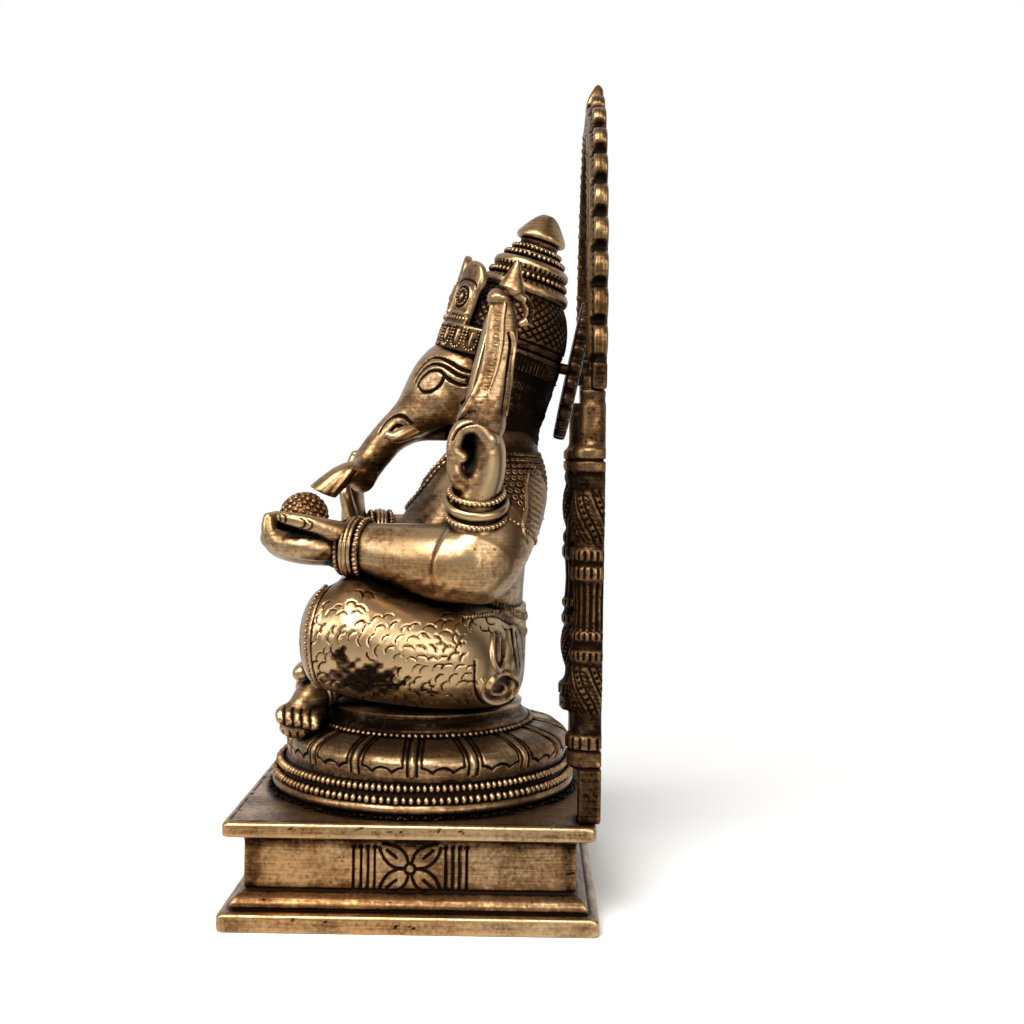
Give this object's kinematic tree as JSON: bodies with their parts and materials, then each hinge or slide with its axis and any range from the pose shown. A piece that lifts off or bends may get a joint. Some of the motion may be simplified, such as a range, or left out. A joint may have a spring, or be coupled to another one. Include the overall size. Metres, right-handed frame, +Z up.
{
  "type": "ganesha idol",
  "caption": "Seated elephant-headed idol in cast brass on a round lotus pedestal and a square moulded plinth, with a flame-edged arch behind it that lifts out of the plinth.",
  "frame": {"origin": "middle of the plinth's underside, on the surface it stands on", "axes": "+Z up, -Y the way the figure faces, +X the figure's own left"},
  "size_m": [0.098, 0.098, 0.231],
  "materials": {
    "antique_brass": "cast brass, chased and polished on the high parts, dark brown patina left in the recesses",
    "plain_steel": "plain turned steel"
  },
  "bodies": {
    "idol": {"plinth": "antique_brass", "tie_bolt": "plain_steel", "tie_washer": "plain_steel", "lotus_pedestal": "antique_brass", "legs_and_dhoti": "antique_brass", "torso": "antique_brass", "left_front_arm": "antique_brass", "right_front_arm": "antique_brass", "left_rear_arm": "antique_brass", "right_rear_arm": "antique_brass", "head_and_trunk": "antique_brass", "left_ear": "antique_brass", "right_ear": "antique_brass", "left_tusk": "antique_brass", "right_tusk": "antique_brass", "crown": "antique_brass", "crown_finial": "antique_brass", "diadem": "antique_brass", "goad": "antique_brass", "noose": "antique_brass", "modak": "antique_brass", "halo_wheel": "antique_brass", "halo_pin": "antique_brass"},
    "arch": {"left_pillar": "antique_brass", "right_pillar": "antique_brass", "arch_hoop": "antique_brass", "arch_leaf": "antique_brass"}
  },
  "joints": [
    {"name": "arch_lift", "type": "slide", "parent": "idol", "child": "arch", "axis": [0, 0, 1], "range_m": [0, 0.03]}
  ]
}
